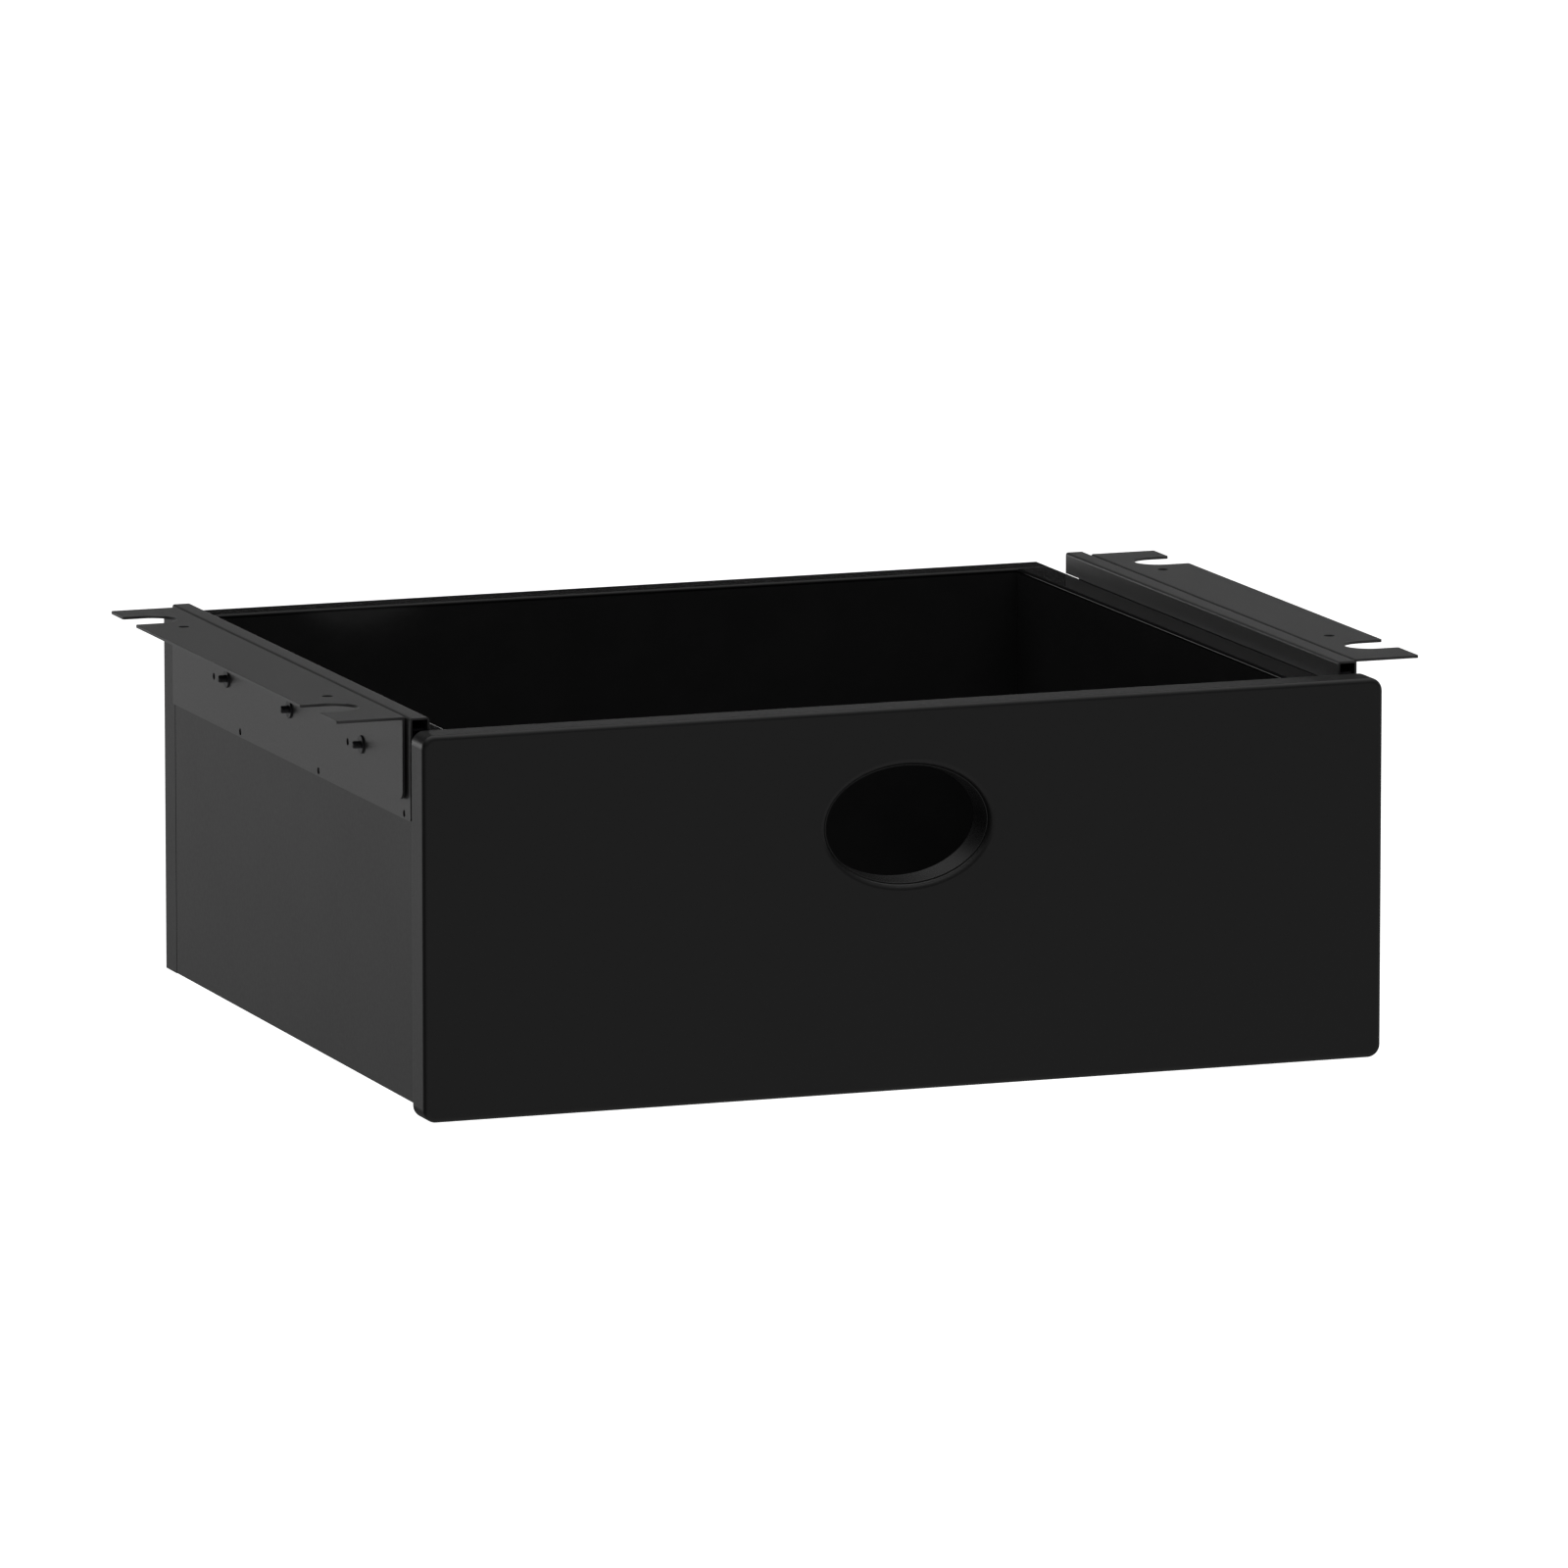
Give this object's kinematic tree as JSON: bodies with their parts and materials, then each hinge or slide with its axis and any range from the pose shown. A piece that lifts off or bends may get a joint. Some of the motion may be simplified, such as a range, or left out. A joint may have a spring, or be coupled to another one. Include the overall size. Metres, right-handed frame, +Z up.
{
  "type": "under desk drawer",
  "caption": "Shallow black drawer box with a rounded front and an oval finger hole, hung under a desk by two folded steel brackets with covered ball slides.",
  "frame": {"origin": "centre of the four desk screw holes, on the top faces of the bracket flanges, which touch the desk's underside", "axes": "+Z up into the desk, +X to the right along the front panel, +Y towards the back of the desk; the drawer opens along -Y"},
  "size_m": [0.568, 0.44, 0.1945],
  "materials": {
    "black_lacquer": "satin black lacquer on 18 mm board, very fine orange peel",
    "bracket_powder_coat": "matt black fine-texture powder coat",
    "black_zinc": "black zinc plated screws and press nuts",
    "slide_steel": "black zinc plated rolled steel, slightly oily",
    "cage_steel": "bright zinc plated strip",
    "ball_steel": "polished steel balls with grease",
    "stop_rubber": "matt black rubber",
    "liner_plastic": "satin black moulded plastic",
    "cam_zinc": "die-cast zinc and zinc plated steel",
    "dowel_wood": "raw fluted beech"
  },
  "bodies": {
    "desk_mount": {"left_mounting_bracket": "bracket_powder_coat", "left_slide_cover": "bracket_powder_coat", "left_press_nuts": "black_zinc", "left_slide_bolts": "black_zinc", "left_slide_outer_rail": "slide_steel", "left_rail_stop": "stop_rubber", "right_mounting_bracket": "bracket_powder_coat", "right_slide_cover": "bracket_powder_coat", "right_press_nuts": "black_zinc", "right_slide_bolts": "black_zinc", "right_slide_outer_rail": "slide_steel", "right_rail_stop": "stop_rubber"},
    "drawer": {"front_panel": "black_lacquer", "finger_hole_liner": "liner_plastic", "left_side_panel": "black_lacquer", "right_side_panel": "black_lacquer", "back_panel": "black_lacquer", "bottom_panel": "black_lacquer", "left_slide_inner_rail": "slide_steel", "left_rail_screws": "black_zinc", "right_slide_inner_rail": "slide_steel", "right_rail_screws": "black_zinc", "cam_locks": "cam_zinc", "cam_bolts": "cam_zinc", "wood_dowels": "dowel_wood", "back_panel_screws": "black_zinc"},
    "left_cage": {"left_ball_cage": "cage_steel", "left_bearing_balls": "ball_steel"},
    "right_cage": {"right_ball_cage": "cage_steel", "right_bearing_balls": "ball_steel"}
  },
  "joints": [
    {"name": "drawer_slide", "type": "slide", "parent": "desk_mount", "child": "drawer", "axis": [0, -1, 0], "range_m": [0, 0.27]},
    {"name": "left_cage_slide", "type": "slide", "parent": "desk_mount", "child": "left_cage", "axis": [0, -1, 0], "range_m": [0, 0.135]},
    {"name": "right_cage_slide", "type": "slide", "parent": "desk_mount", "child": "right_cage", "axis": [0, -1, 0], "range_m": [0, 0.135]}
  ],
  "couplings": [
    {"joint": "left_cage_slide", "follows": "drawer_slide", "ratio": 0.5},
    {"joint": "right_cage_slide", "follows": "drawer_slide", "ratio": 0.5}
  ]
}
